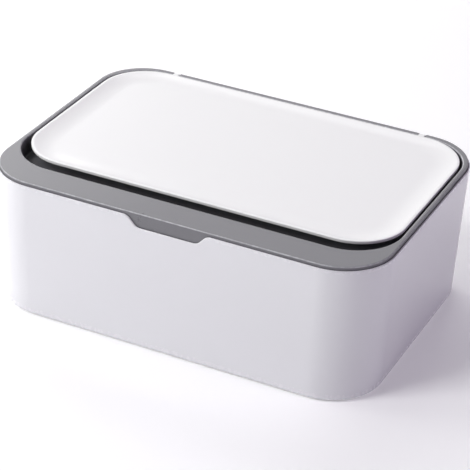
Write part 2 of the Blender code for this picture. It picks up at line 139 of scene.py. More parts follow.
class Paint:
    """One material: a Principled surface and the nodes that feed it."""

    def __init__(self, name, **constants):
        self.material = bpy.data.materials.new(name)
        self.material.use_nodes = True
        self.tree = self.material.node_tree
        self.surface = self.tree.nodes["Principled BSDF"]
        for socket, value in constants.items():
            self.surface.inputs[socket.replace("_", " ")].default_value = value
        self.place = self.node("TexCoord", output="Object")

    def node(self, kind, settings=None, values=None, output=0):
        """Adds a node: its settings first, then the values or links of its sockets."""
        made = self.tree.nodes.new("ShaderNode" + kind)
        for name, setting in (settings or {}).items():
            setattr(made, name, setting)
        for name, value in (values or {}).items():
            if isinstance(value, Shade):
                self.tree.links.new(value.socket, made.inputs[name])
            else:
                made.inputs[name].default_value = value
        return Shade(self, made.outputs[output])

    def feed(self, **links):
        """Links values to the surface's own sockets."""
        for socket, value in links.items():
            self.tree.links.new(value.socket, self.surface.inputs[socket.replace("_", " ")])

    def noise(self, size, detail=2.0, stretch=(1, 1, 1)):
        """Noise from 0 to 1 with patches about size across, drawn out along an axis by stretch."""
        scale = [1 / (size * longer) for longer in stretch]
        place = self.node("Mapping", values={"Vector": self.place, "Scale": scale})
        return self.node("TexNoise", values={"Vector": place, "Scale": 1.0, "Detail": detail})

    def along(self, axis):
        """How far the place lies along an axis."""
        return self.node("SeparateXYZ", values={"Vector": self.place}, output=axis)

    def blend(self, share, first, second):
        """Mixes two colours, each a Shade or a plain (r, g, b)."""
        ends = [end if isinstance(end, Shade) else (*end, 1.0) for end in (first, second)]
        return self.node("Mix", {"data_type": "RGBA"}, {0: share, 6: ends[0], 7: ends[1]}, output=2)

    def bump(self, height, depth, after=None):
        """A normal that stands proud by depth where height is 1."""
        values = {"Height": height, "Distance": depth}
        if after:
            values["Normal"] = after
        return self.node("Bump", values=values)


bpy.ops.object.select_all(action="DESELECT")
bpy.ops.mesh.primitive_plane_add(size=FLOOR_SIZE)
floor = bpy.context.object
floor.name = "studio_floor"
paint = Paint("studio_paper", Roughness=0.9, Emission_Strength=1.0)
reach = paint.node("VectorMath", {"operation": "LENGTH"}, {0: paint.place}, output="Value")
further = reach.fade(FLOOR_NEAR, FLOOR_FAR)
paint.feed(Base_Color=paint.blend(paint.noise(FLOOR_CLOUD), FLOOR_COLOUR_WORN, FLOOR_COLOUR),
           Emission_Color=paint.blend(further, FLOOR_GLOW, FLOOR_GLOW_FAR))
floor.data.materials.append(paint.material)

room = bpy.data.worlds.new("studio_room")
room.use_nodes = True
room.node_tree.nodes["Background"].inputs["Color"].default_value = (*ROOM_COLOUR, 1.0)
room.node_tree.nodes["Background"].inputs["Strength"].default_value = ROOM_STRENGTH
bpy.context.scene.world = room

LIGHT_AIM = Vector((0.0, 0.0, 0.04))
LIGHT_DISTANCE = 1.35
STRIP_DISTANCE = 1.5
WHITE_LIGHT = (1.0, 1.0, 1.0)
MAUVE_LIGHT = (0.95, 0.76, 1.08)


def hang_softbox(name, turn, rise, wide, high, watts, distance=LIGHT_DISTANCE, colour=WHITE_LIGHT):
    """Hangs a soft box round the object, aimed at its middle. Angles are in degrees."""
    turn = math.radians(turn)
    rise = math.radians(rise)
    outwards = Vector((math.sin(turn) * math.cos(rise),
                       -math.cos(turn) * math.cos(rise),
                       math.sin(rise)))
    bpy.ops.object.light_add(type="AREA")
    box = bpy.context.object
    box.name = name
    box.data.shape = "RECTANGLE"
    box.data.size = wide
    box.data.size_y = high
    box.data.energy = watts
    box.data.color = colour
    box.matrix_world = (Matrix.Translation(LIGHT_AIM + outwards * distance)
                        @ outwards.to_track_quat("Z", "Y").to_matrix().to_4x4())


hang_softbox("key", turn=-36, rise=50, wide=0.35, high=0.35, watts=5.8)
hang_softbox("front_fill", turn=-35, rise=31, wide=0.6, high=0.4, watts=4.2)
hang_softbox("left_low", turn=-65, rise=20, wide=0.8, high=0.6, watts=2.8)
hang_softbox("left_side", turn=-82, rise=26, wide=0.8, high=0.8, watts=5.8)
hang_softbox("back_window", turn=212, rise=31, wide=1.2, high=1.2, watts=5.6)
hang_softbox("back_left", turn=228, rise=28, wide=0.3, high=1.1, watts=2.0)
hang_softbox("back_top", turn=210, rise=50, wide=0.9, high=0.3, watts=2.0)
hang_softbox("back_low", turn=217, rise=14, wide=0.25, high=0.25, watts=1.2)
hang_softbox("back_strip", turn=203, rise=4, wide=1.5, high=0.24, watts=0.6,
             distance=STRIP_DISTANCE)
hang_softbox("right_fill", turn=86, rise=38, wide=0.8, high=0.8, watts=3.2, colour=MAUVE_LIGHT)

# White tub. One thin injection-moulded shell of glossy plastic, with draft on its sides. Its
# top edge is rebated to a thin lip, into which the cover drops. A finger notch in the front
# lip bares the cover's side, and four shallow recesses underneath hold the feet.
CORNER_STEPS = 24
ROUND_STEPS = 6
SAME_PLACE = 1e-5
FIT_GAP = 0.0003
OVERRUN = 0.002
CORNER_RADIUS = 0.026
SIDE_DRAFT = 0.0018
WALL = 0.0024
BASE = 0.0022
BASE_ROUND = 0.0015
FLOOR_ROUND = 0.003
WALL_CUTS = 6
LIP = 0.0006
LIP_DEPTH = 0.008
BROW_ROUND = 0.00055
BROW_STEPS = 5
LIP_ROUND = 0.00007
NOTCH_TOP_HALF = 0.0196
NOTCH_FLOOR_HALF = 0.0149
NOTCH_DEPTH = 0.0052
NOTCH_ROUND = 0.0018
NOTCH_STEPS = 8
NOTCH_HAIR = 0.00003
FOOT_RADIUS = 0.005
FOOT_RECESS = 0.0008
DISC_SIDES = 48
SHARP = math.radians(50)
TUB_WHITE = (0.75, 0.748, 0.78)
TUB_WHITE_WARM = (0.735, 0.728, 0.76)
TUB_CLOUD = 0.045
TUB_MOTTLE = 0.004
TUB_SCUFF = 0.0015
SCUFF_FROM_BASE = 0.006
SCUFF_FROM_BASE_FULL = 0.0015
SCUFF_FROM_TOP = 0.0025
SCUFF_FROM_TOP_FULL = 0.0002
GLOSS_GRAIN = 0.0011
GLOSS_GRAIN_DEPTH = 0.000004
TUB_WAVE = 0.03
TUB_WAVE_DEPTH = 0.00006

tub_low, tub_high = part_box("tub_shell")
HALF_LENGTH = tub_high.x
HALF_WIDTH = tub_high.y
TUB_TOP = tub_high.z
UNDERSIDE = tub_low.z
LEDGE = TUB_TOP - LIP_DEPTH
foot_low, foot_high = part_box("foot_rear_right")
FOOT_PLACE = (foot_low + foot_high) / 2


def begin_piece(name):
    """Starts a piece as an empty mesh at the origin, open for editing."""
    bpy.ops.object.select_all(action="DESELECT")
    bpy.ops.object.add(type="MESH", location=(0, 0, 0))
    piece = bpy.context.object
    piece.name = name
    piece.data.name = name
    bpy.ops.object.mode_set(mode="EDIT")
    return piece


def lay_sheet(half_length, half_width, radius, height, centre_y=0.0, looks_down=False, side_cuts=0):
    """Lays a sheet with round corners, a single face, and leaves it selected."""
    place = (0, centre_y, height)
    bpy.ops.mesh.primitive_plane_add(size=2, location=place)
    bpy.ops.transform.resize(value=(half_length, half_width, 1), center_override=place)
    bpy.ops.mesh.bevel(affect="VERTICES", offset=radius, segments=CORNER_STEPS, profile=0.5)
    if side_cuts:
        for side in (-half_width, half_width):
            side_middle = (0, centre_y + side, height)
            pick("EDGE", lambda middle: math.dist(middle, side_middle) < SAME_PLACE)
            bpy.ops.mesh.subdivide(number_cuts=side_cuts)
    bpy.ops.mesh.select_linked()
    if looks_down:
        bpy.ops.mesh.flip_normals()


def follow(*places, looks_down=False):
    """Carries the selected face along (inset, height) places and leaves a wall behind it."""
    outward = -1 if looks_down else 1
    for (inset, height), (next_inset, next_height) in zip(places, places[1:]):
        bpy.ops.mesh.inset(thickness=max(0.0, next_inset - inset),
                           depth=outward * (next_height - height), use_even_offset=True)


def rounding(inset, height, radius, start, end, steps=ROUND_STEPS):
    """Places of a rounding about (inset, height); 0 degrees faces outwards and 90 faces up."""
    for step in range(steps + 1):
        angle = math.radians(start + (end - start) * step / steps)
        yield inset - radius * math.cos(angle), height + radius * math.sin(angle)


def open_end():
    """Takes away the selected face and leaves its rim open."""
    bpy.ops.mesh.delete(type="ONLY_FACE")


def bridge(*rims, cuts=0):
    """Joins two open rims with a wall; each is told by its reach along X and its height."""
    bpy.ops.mesh.select_mode(type="EDGE")
    bpy.ops.mesh.select_all(action="DESELECT")
    mesh = bmesh.from_edit_mesh(bpy.context.edit_object.data)
    loose = {edge for edge in mesh.edges if len(edge.link_faces) < 2}
    while loose:
        rim = [loose.pop()]
        for edge in rim:
            joined = {other for corner in edge.verts for other in corner.link_edges} & loose
            loose -= joined
            rim += joined
        reach = max(corner.co.x for edge in rim for corner in edge.verts)
        found = (reach, rim[0].verts[0].co.z)
        if any(math.dist(found, wanted) < SAME_PLACE for wanted in rims):
            for edge in rim:
                edge.select_set(True)
    bmesh.update_edit_mesh(bpy.context.edit_object.data)
    bpy.ops.mesh.bridge_edge_loops(number_cuts=cuts, interpolation="LINEAR")
    bpy.ops.mesh.select_mode(type="VERT")


def near(value, wanted):
    """Whether a measure is the wanted one."""
    return abs(value - wanted) < SAME_PLACE


def pick(kind, test, only_sharp=False):
    """Selects the vertices, edges or faces whose middle passes a test of place."""
    bpy.ops.mesh.select_mode(type=kind)
    bpy.ops.mesh.select_all(action="DESELECT")
    mesh = bmesh.from_edit_mesh(bpy.context.edit_object.data)
    for item in {"VERT": mesh.verts, "EDGE": mesh.edges, "FACE": mesh.faces}[kind]:
        corners = [item] if kind == "VERT" else item.verts
        chosen = test(sum((corner.co for corner in corners), Vector()) / len(corners))
        item.select_set(chosen and not (only_sharp and item.calc_face_angle(0.0) < SHARP))
    bmesh.update_edit_mesh(bpy.context.edit_object.data)


def close_piece():
    """Merges what meets, turns every face outwards and ends the editing."""
    bpy.ops.mesh.select_all(action="SELECT")
    bpy.ops.mesh.remove_doubles(threshold=SAME_PLACE)
    bpy.ops.mesh.normals_make_consistent(inside=False)
    bpy.ops.object.mode_set(mode="OBJECT")


def choose(piece):
    """Makes a piece the only one selected."""
    bpy.ops.object.select_all(action="DESELECT")
    piece.select_set(True)
    bpy.context.view_layer.objects.active = piece


def apply_modifier(piece, kind, **settings):
    """Adds a modifier to a piece, sets it and applies it."""
    choose(piece)
    bpy.ops.object.modifier_add(type=kind)
    modifier = piece.modifiers[-1]
    for name, value in settings.items():
        setattr(modifier, name, value)
    bpy.ops.object.modifier_apply(modifier=modifier.name)


def cut(piece, tool, operation="DIFFERENCE"):
    """Cuts a tool's shape out of a piece, or joins it on, and throws the tool away."""
    apply_modifier(piece, "BOOLEAN", object=tool, operation=operation, solver="EXACT")
    bpy.data.objects.remove(tool)


def drill(piece, middle, radius, depth, turn=(0, 0, 0), sides=DISC_SIDES):
    """Drills a round hole in a piece, upright unless it is turned."""
    bit = begin_piece("drill")
    bpy.ops.mesh.primitive_cylinder_add(vertices=sides, radius=radius, depth=depth,
                                        location=middle, rotation=turn)
    close_piece()
    cut(piece, bit)


def smooth(piece):
    """Shades a piece smooth, with its flats kept flat and its sharp edges sharp."""
    choose(piece)
    bpy.ops.object.shade_smooth_by_angle(angle=SHARP)
    apply_modifier(piece, "WEIGHTED_NORMAL", keep_sharp=True)


def soften(piece, width, steps=2):
    """Rounds a piece's sharp edges and shades it smooth."""
    apply_modifier(piece, "BEVEL", width=width, segments=steps, limit_method="ANGLE",
                   angle_limit=SHARP, use_clamp_overlap=False)
    smooth(piece)


def place_piece(piece, paint, body, node):
    """Gives a finished piece its material and its body, and hides the solid it stands for."""
    piece.data.materials.clear()
    piece.data.materials.append(paint.material)
    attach(piece, body)
    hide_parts(node)


def tub_outline(inset, height):
    """Half length, half width, radius and height of the tub's outline, with inset and draft."""
    drawn = inset + SIDE_DRAFT * max(0.0, TUB_TOP - height) / TUB_TOP
    return HALF_LENGTH - drawn, HALF_WIDTH - drawn, CORNER_RADIUS - inset, height


tub = begin_piece("white_tub")
wall_foot = UNDERSIDE + BASE_ROUND
lay_sheet(*tub_outline(0.0, wall_foot), looks_down=True)
follow(*rounding(BASE_ROUND, wall_foot, BASE_ROUND, 0, -90), looks_down=True)
lay_sheet(*tub_outline(0.0, TUB_TOP))
follow((0.0, TUB_TOP), (LIP, TUB_TOP), (LIP, LEDGE), (WALL, LEDGE))
open_end()
bridge((HALF_LENGTH, TUB_TOP), (tub_outline(0.0, wall_foot)[0], wall_foot), cuts=WALL_CUTS)
inner_foot = UNDERSIDE + BASE + FLOOR_ROUND
lay_sheet(*tub_outline(WALL, inner_foot))
follow(*rounding(FLOOR_ROUND, inner_foot, FLOOR_ROUND, 0, -90))
bridge((HALF_LENGTH - WALL, LEDGE), (tub_outline(WALL, inner_foot)[0], inner_foot), cuts=WALL_CUTS)
close_piece()

# The notch is cut by a block that narrows downwards. Its long edges are rounded, so that the
# notch's sides run in an S.
notch = begin_piece("notch_block")
notch_floor = TUB_TOP - NOTCH_DEPTH
notch_brow = TUB_TOP + NOTCH_HAIR
notch_middle = Vector((0, WALL / 2 - HALF_WIDTH, (notch_floor + notch_brow) / 2))
bpy.ops.mesh.primitive_cube_add(size=1, location=notch_middle)
bpy.ops.transform.resize(value=(2 * NOTCH_TOP_HALF, WALL, notch_brow - notch_floor),
                         center_override=notch_middle)
pick("FACE", lambda place: near(place.z, notch_floor))
bpy.ops.transform.resize(value=(NOTCH_FLOOR_HALF / NOTCH_TOP_HALF, 1, 1),
                         center_override=notch_middle)
pick("FACE", lambda place: near(place.z, notch_brow))
bpy.ops.mesh.extrude_region_move()
bpy.ops.transform.resize(value=(1 + NOTCH_DEPTH / NOTCH_TOP_HALF, 1, 1),
                         center_override=notch_middle)
bpy.ops.mesh.extrude_region_move(TRANSFORM_OT_translate={"value": (0, 0, OVERRUN)})
pick("EDGE", lambda place: near(place.y, notch_middle.y)
     and abs(place.x) < NOTCH_TOP_HALF + SAME_PLACE
     and (near(place.z, notch_floor) or near(place.z, notch_brow)))
bpy.ops.mesh.bevel(offset=NOTCH_ROUND, segments=NOTCH_STEPS, profile=0.5)
bpy.ops.mesh.select_all(action="SELECT")
bpy.ops.transform.resize(value=(1, 1 + 2 * OVERRUN / WALL, 1), center_override=notch_middle)
close_piece()
cut(tub, notch)

recess_z = UNDERSIDE + (FOOT_RECESS - OVERRUN) / 2
for end_x in (-1, 1):
    for end_y in (-1, 1):
        drill(tub, (end_x * FOOT_PLACE.x, end_y * FOOT_PLACE.y, recess_z),
              FOOT_RADIUS + FIT_GAP, FOOT_RECESS + OVERRUN)


def outside(place, depth):
    """Whether a place lies within depth of the tub's outer side."""
    along = max(0.0, abs(place.x) - HALF_LENGTH + CORNER_RADIUS)
    across = max(0.0, abs(place.y) - HALF_WIDTH + CORNER_RADIUS)
    return math.hypot(along, across) > CORNER_RADIUS - depth


bpy.ops.object.mode_set(mode="EDIT")
pick("EDGE", lambda place: place.z > notch_floor - SAME_PLACE and outside(place, LIP / 2),
     only_sharp=True)
bpy.ops.mesh.bevel(offset=BROW_ROUND, segments=BROW_STEPS, profile=0.5)
bpy.ops.object.mode_set(mode="OBJECT")
soften(tub, LIP_ROUND)

paint = Paint("tub_white", IOR=1.49)
z = paint.along("Z")
cloud = paint.noise(TUB_CLOUD, detail=3.0)
mottle = paint.noise(TUB_MOTTLE, detail=4.0)
handled_base = z.fade(SCUFF_FROM_BASE, SCUFF_FROM_BASE_FULL)
handled = handled_base.over(z.fade(TUB_TOP - SCUFF_FROM_TOP, TUB_TOP - SCUFF_FROM_TOP_FULL))
rubbed = handled * paint.noise(TUB_SCUFF).fade(0.42, 0.62)
paint.feed(
    Base_Color=paint.blend(cloud * 0.6 + mottle * 0.2 + rubbed * 0.3, TUB_WHITE, TUB_WHITE_WARM),
    Roughness=0.19 + cloud * 0.05 + mottle * 0.03 + rubbed * 0.12,
    Normal=paint.bump(paint.noise(GLOSS_GRAIN, detail=3.0), GLOSS_GRAIN_DEPTH,
                      after=paint.bump(paint.noise(TUB_WAVE, detail=1.0), TUB_WAVE_DEPTH)))
place_piece(tub, paint, "tub", "tub_shell")

# Rubber feet. Four dark discs glued into the recesses under the tub. A ring groove and a
# sunk middle in each sole give them grip. One is made and then copied to the other corners.
FOOT_ROUND = 0.0004
FOOT_GROOVE_AT = 0.0014
FOOT_GROOVE = 0.0006
FOOT_GROOVE_DEPTH = 0.0003
FOOT_BLACK = (0.045, 0.045, 0.048)
FOOT_DUSTY = (0.16, 0.155, 0.15)
FOOT_DUST = 0.0012
FOOT_DUST_TOP = 0.0004
FOOT_SHEEN = 0.002
FOOT_GRAIN = 0.0003
FOOT_GRAIN_DEPTH = 0.00001


def lay_disc(middle, radius, looks_down=False):
    """Lays a round sheet, a single face, and leaves it selected."""
    bpy.ops.mesh.primitive_circle_add(vertices=DISC_SIDES, radius=radius, fill_type="NGON",
                                      location=middle)
    if looks_down:
        bpy.ops.mesh.flip_normals()


def copy_piece(piece, name, shift):
    """Copies a finished piece with its own mesh, and moves the mesh."""
    choose(piece)
    bpy.ops.object.duplicate(linked=False)
    copied = bpy.context.object
    copied.name = name
    copied.data.name = name
    bpy.ops.object.mode_set(mode="EDIT")
    bpy.ops.mesh.select_all(action="SELECT")
    bpy.ops.transform.translate(value=shift)
    bpy.ops.object.mode_set(mode="OBJECT")
    return copied


foot = begin_piece("rubber_foot_rear_right")
groove_end = FOOT_GROOVE_AT + FOOT_GROOVE
lay_disc((FOOT_PLACE.x, FOOT_PLACE.y, FOOT_ROUND), FOOT_RADIUS, looks_down=True)
follow(*rounding(FOOT_ROUND, FOOT_ROUND, FOOT_ROUND, 0, -90), (FOOT_GROOVE_AT, 0.0),
       (FOOT_GROOVE_AT, FOOT_GROOVE_DEPTH), (groove_end, FOOT_GROOVE_DEPTH), (groove_end, 0.0),
       (groove_end + FOOT_GROOVE, 0.0), (groove_end + 2 * FOOT_GROOVE, FOOT_GROOVE_DEPTH),
       looks_down=True)
lay_disc((FOOT_PLACE.x, FOOT_PLACE.y, foot_high.z), FOOT_RADIUS)
open_end()
bridge((foot_high.x, foot_high.z), (foot_high.x, FOOT_ROUND))
bpy.ops.mesh.select_all(action="DESELECT")
lay_disc((FOOT_PLACE.x, FOOT_PLACE.y, foot_high.z), FOOT_RADIUS)
close_piece()
soften(foot, FOOT_GROOVE_DEPTH / 4)

paint = Paint("foot_rubber", IOR=1.52)
dust = (paint.noise(FOOT_DUST, detail=4.0).fade(0.45, 0.75)
        * paint.along("Z").fade(FOOT_DUST_TOP, 0.0))
paint.feed(Base_Color=paint.blend(dust, FOOT_BLACK, FOOT_DUSTY),
           Roughness=0.62 + dust * 0.25 + paint.noise(FOOT_SHEEN) * 0.1,
           Normal=paint.bump(paint.noise(FOOT_GRAIN, detail=3.0), FOOT_GRAIN_DEPTH))
feet = {"rear_right": foot}
for end_x, end_y, corner in ((-1, 1, "rear_left"), (1, -1, "front_right"), (-1, -1, "front_left")):
    shift = ((end_x - 1) * FOOT_PLACE.x, (end_y - 1) * FOOT_PLACE.y, 0)
    feet[corner] = copy_piece(foot, f"rubber_foot_{corner}", shift)
for corner, foot in feet.items():
    place_piece(foot, paint, "tub", f"foot_{corner}")

# Grey cover. One satin moulding that stands in the tub's lip: a rim with a wide band at the
# front, a sunk well whose deck has a collar round the mouth hole, and a plug wall below.
RIM_INSET = LIP + FIT_GAP
RIM_ROUND = 0.0006
BAND_FRONT = 0.0162
BAND_SIDE = 0.0022
BAND_THICKNESS = 0.002
WELL_DEPTH = 0.009
WELL_RADIUS = 0.0243
WELL_BEFORE_HINGE = 0.0014
WELL_EDGE = 0.0008
WELL_ROUND = 0.0012
WELL_WALL = 0.0018
DECK = 0.0018
COLLAR_WIDTH = 0.0024
COLLAR_EDGE = 0.0004
COLLAR_RADIUS = 0.016
MOUTH_HALF_LENGTH = 0.048
MOUTH_HALF_WIDTH = 0.021
MOUTH_RADIUS = 0.015
PLUG_GAP = 0.001
PLUG_WALL = 0.0018
PLUG_TAPER = 0.0006
GROOVE_DEPTH = 0.0008
GROOVE_BELOW_FLANGE = 0.0022
GROOVE_WIDTH = 0.0022
CORE_HALF_LENGTH = 0.066
CORE_RIB = 0.0016
CORE_CELLS = 4
KNUCKLE_RADIUS = 0.0014
KNUCKLE_WIDTH = 0.003
SLOT_FLOOR_GAP = 0.0004
PIN_CLEARANCE = 0.0001
PIN_SIDES = 24
SEAL_WIDTH = 0.0016
COVER_EDGE = 0.00012
COVER_GREY = (0.16, 0.158, 0.173)
COVER_GREY_LIGHT = (0.186, 0.184, 0.2)
# Light grey painted on the rim's rounded top edges as a painted highlight.
COVER_GREY_PAINTED_HIGHLIGHT = (0.46, 0.46, 0.48)
COVER_CLOUD = 0.03
COVER_GRAIN = 0.00045
COVER_GRAIN_DEPTH = 0.000008
EDGE_HIGHLIGHT_PATCH = 0.002
THUMB_PATCH = 0.006
THUMB_REACH = 0.045
THUMB_REACH_FULL = 0.01
THUMB_FRONT = -0.055
THUMB_FRONT_FULL = -0.066

cover_low, cover_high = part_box("cover_frame")
seal_low, seal_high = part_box("lid_seal")
pin_low, pin_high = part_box("hinge_pin_right")
PIN_PLACE = (pin_low + pin_high) / 2
PIN_RADIUS = (pin_high.z - pin_low.z) / 2
RIM_TOP = cover_high.z
FLANGE = LEDGE + FIT_GAP
DECK_TOP = RIM_TOP - WELL_DEPTH
DECK_UNDERSIDE = DECK_TOP - DECK
WELL_FRONT = cover_low.y + BAND_FRONT
WELL_REAR = PIN_PLACE.y - WELL_BEFORE_HINGE
WELL_HALF_LENGTH = cover_high.x - BAND_SIDE
WELL_HALF_WIDTH = (WELL_REAR - WELL_FRONT) / 2
WELL_Y = (WELL_REAR + WELL_FRONT) / 2
MOUTH_Y = (seal_low.y + seal_high.y) / 2
COLLAR_TOP = seal_low.z - FIT_GAP
PLUG_LOW = cover_low.z


def seal_path(outset, height):
    """Outline of the lid's seal and of the collar under it, let out by outset."""
    half = outset - SEAL_WIDTH / 2
    return seal_high.x + half, seal_high.y - MOUTH_Y + half, COLLAR_RADIUS + outset, height, MOUTH_Y


def mouth_outline(outset, height):
    """Outline of the mouth hole, let out by outset."""
    return (MOUTH_HALF_LENGTH + outset, MOUTH_HALF_WIDTH + outset, MOUTH_RADIUS + outset,
            height, MOUTH_Y)


cover = begin_piece("grey_cover")
rim_foot = RIM_TOP - RIM_ROUND
lay_sheet(*tub_outline(RIM_INSET, TUB_TOP)[:3], rim_foot)
follow(*rounding(RIM_ROUND, rim_foot, RIM_ROUND, 0, 90))
open_end()
well_lip = (WELL_HALF_LENGTH + WELL_EDGE, WELL_HALF_WIDTH + WELL_EDGE, WELL_RADIUS + WELL_EDGE,
            RIM_TOP, WELL_Y)
lay_sheet(*well_lip)
follow(*rounding(0.0, RIM_TOP - WELL_EDGE, WELL_EDGE, 90, 180),
       *rounding(WELL_EDGE + WELL_ROUND, DECK_TOP + WELL_ROUND, WELL_ROUND, 0, -90))
open_end()
bridge((cover_high.x - RIM_ROUND, RIM_TOP), (well_lip[0], RIM_TOP))
collar = seal_path(COLLAR_WIDTH / 2, DECK_TOP)
lay_sheet(*collar)
follow((0.0, DECK_TOP), *rounding(COLLAR_EDGE, COLLAR_TOP - COLLAR_EDGE, COLLAR_EDGE, 0, 90),
       *rounding(COLLAR_WIDTH - COLLAR_EDGE, COLLAR_TOP - COLLAR_EDGE, COLLAR_EDGE, 90, 180),
       (COLLAR_WIDTH, DECK_TOP))
open_end()
bridge((WELL_HALF_LENGTH - WELL_ROUND, DECK_TOP), (collar[0], DECK_TOP))
lay_sheet(*mouth_outline(0.0, DECK_TOP))
follow((0.0, DECK_TOP), (0.0, DECK_UNDERSIDE))
open_end()
bridge((collar[0] - COLLAR_WIDTH, DECK_TOP), (MOUTH_HALF_LENGTH, DECK_TOP))

step_in = WALL + PLUG_GAP - RIM_INSET
groove_top = FLANGE - GROOVE_BELOW_FLANGE
groove_low = groove_top - GROOVE_WIDTH
flange = tub_outline(RIM_INSET, FLANGE)
lay_sheet(*flange, looks_down=True)
follow((0.0, FLANGE), (step_in, FLANGE), (step_in, groove_top), (step_in, groove_low),
       (step_in + PLUG_TAPER, PLUG_LOW), (step_in + PLUG_WALL, PLUG_LOW),
       (step_in + PLUG_WALL, DECK_UNDERSIDE), looks_down=True)
open_end()
bridge((flange[0] - step_in - PLUG_WALL, DECK_UNDERSIDE), (MOUTH_HALF_LENGTH, DECK_UNDERSIDE))
bridge((flange[0], FLANGE), (cover_high.x, rim_foot), cuts=2)
pick("FACE", lambda place: near(place.z, (groove_top + groove_low) / 2))
bpy.ops.mesh.extrude_region_shrink_fatten(TRANSFORM_OT_shrink_fatten={"value": -GROOVE_DEPTH})
close_piece()


def cut_block(piece, low, high):
    """Cuts a plain upright block out of a piece, from its low corner to its high one."""
    low = Vector(low)
    high = Vector(high)
    middle = (low + high) / 2
    block = begin_piece("block")
    bpy.ops.mesh.primitive_cube_add(size=1, location=middle)
    bpy.ops.transform.resize(value=high - low, center_override=middle)
    close_piece()
    cut(piece, block)


slot_half = KNUCKLE_WIDTH / 2 + FIT_GAP
slot_floor = PIN_PLACE.z - KNUCKLE_RADIUS - SLOT_FLOOR_GAP
for end_x in (-1, 1):
    slot_x = end_x * PIN_PLACE.x
    cut_block(cover, (slot_x - slot_half, WELL_REAR - WELL_ROUND, slot_floor),
              (slot_x + slot_half, HALF_WIDTH + OVERRUN, RIM_TOP + OVERRUN))
    drill(cover, (slot_x, PIN_PLACE.y, PIN_PLACE.z), PIN_RADIUS + PIN_CLEARANCE,
          pin_high.x - pin_low.x + 2 * FIT_GAP, turn=(0, math.pi / 2, 0), sides=PIN_SIDES)
core_pitch = 2 * CORE_HALF_LENGTH / CORE_CELLS
core_front = WALL + PLUG_GAP + PLUG_WALL + SIDE_DRAFT - HALF_WIDTH
core_rear = WELL_FRONT - WELL_WALL
for cell in range(CORE_CELLS):
    core_left = core_pitch * cell - CORE_HALF_LENGTH
    cut_block(cover, (core_left + CORE_RIB / 2, core_front, DECK_UNDERSIDE - OVERRUN),
              (core_left + core_pitch - CORE_RIB / 2, core_rear, RIM_TOP - BAND_THICKNESS))
soften(cover, COVER_EDGE)

paint = Paint("cover_grey", IOR=1.5)
z = paint.along("Z")
cloud = paint.noise(COVER_CLOUD, detail=3.0)
grain = paint.noise(COVER_GRAIN, detail=2.0)
reached = (abs(paint.along("X")).fade(THUMB_REACH, THUMB_REACH_FULL)
           * paint.along("Y").fade(THUMB_FRONT, THUMB_FRONT_FULL))
touched = reached * paint.noise(THUMB_PATCH, detail=3.0).fade(0.3, 0.6)
# Painted highlight: the rounded top edges of the rim and of the well are painted a light grey, made
# patchy by noise, as a thin light line.
edge = (z.fade(RIM_TOP - RIM_ROUND, RIM_TOP - RIM_ROUND / 2)
        * z.fade(RIM_TOP, RIM_TOP - RIM_ROUND / 6))
painted_edge_highlight = edge * (0.6 + 0.4 * paint.noise(EDGE_HIGHLIGHT_PATCH, detail=4.0).fade(0.4, 0.65))
grey = paint.blend(cloud * 0.5 + grain * 0.4, COVER_GREY, COVER_GREY_LIGHT)
paint.feed(
    Base_Color=paint.blend(painted_edge_highlight, grey, COVER_GREY_PAINTED_HIGHLIGHT),
    Roughness=0.30 + cloud * 0.05 + grain * 0.04 - touched * 0.06,
    Normal=paint.bump(grain, COVER_GRAIN_DEPTH))
place_piece(cover, paint, "cover", "cover_frame")

# Cover seal. A milky silicone ring stretched into the groove round the cover's plug. Its nose
# is half round and closes on the tub's wall.
SILICONE = (0.70, 0.70, 0.69)
SILICONE_DUSTY = (0.60, 0.60, 0.585)
SILICONE_SCATTER = 0.001
SILICONE_LINT = 0.0018
SILICONE_SHEEN = 0.01
SILICONE_GRAIN = 0.0006
SILICONE_GRAIN_DEPTH = 0.000006

plug_low, plug_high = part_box("cover_seal")
seal_middle = (plug_low.z + plug_high.z) / 2
nose = (plug_high.z - plug_low.z) / 2
seal_reach = HALF_LENGTH - plug_high.x - SIDE_DRAFT * (TUB_TOP - seal_middle) / TUB_TOP
seal_depth = WALL + PLUG_GAP + GROOVE_DEPTH - FIT_GAP - seal_reach
ring = tub_outline(seal_reach, seal_middle)
plug_seal = begin_piece("cover_seal_ring")
lay_sheet(*ring)
follow(*rounding(nose, seal_middle, nose, 0, 90), (seal_depth, plug_high.z))
open_end()
lay_sheet(*ring, looks_down=True)
follow(*rounding(nose, seal_middle, nose, 0, -90), (seal_depth, plug_low.z), looks_down=True)
open_end()
bridge((ring[0] - seal_depth, plug_high.z), (ring[0] - seal_depth, plug_low.z))
close_piece()
soften(plug_seal, COVER_EDGE)

silicone = Paint("milky_silicone", IOR=1.41, Subsurface_Weight=0.35,
                 Subsurface_Scale=SILICONE_SCATTER)
lint = silicone.noise(SILICONE_LINT, detail=5.0).fade(0.5, 0.72)
fine = silicone.noise(SILICONE_GRAIN, detail=2.0)
silicone.feed(Base_Color=silicone.blend(lint * 0.7, SILICONE, SILICONE_DUSTY),
              Roughness=0.36 + lint * 0.2 + silicone.noise(SILICONE_SHEEN) * 0.08,
              Normal=silicone.bump(fine, SILICONE_GRAIN_DEPTH))
place_piece(plug_seal, silicone, "cover", "cover_seal")

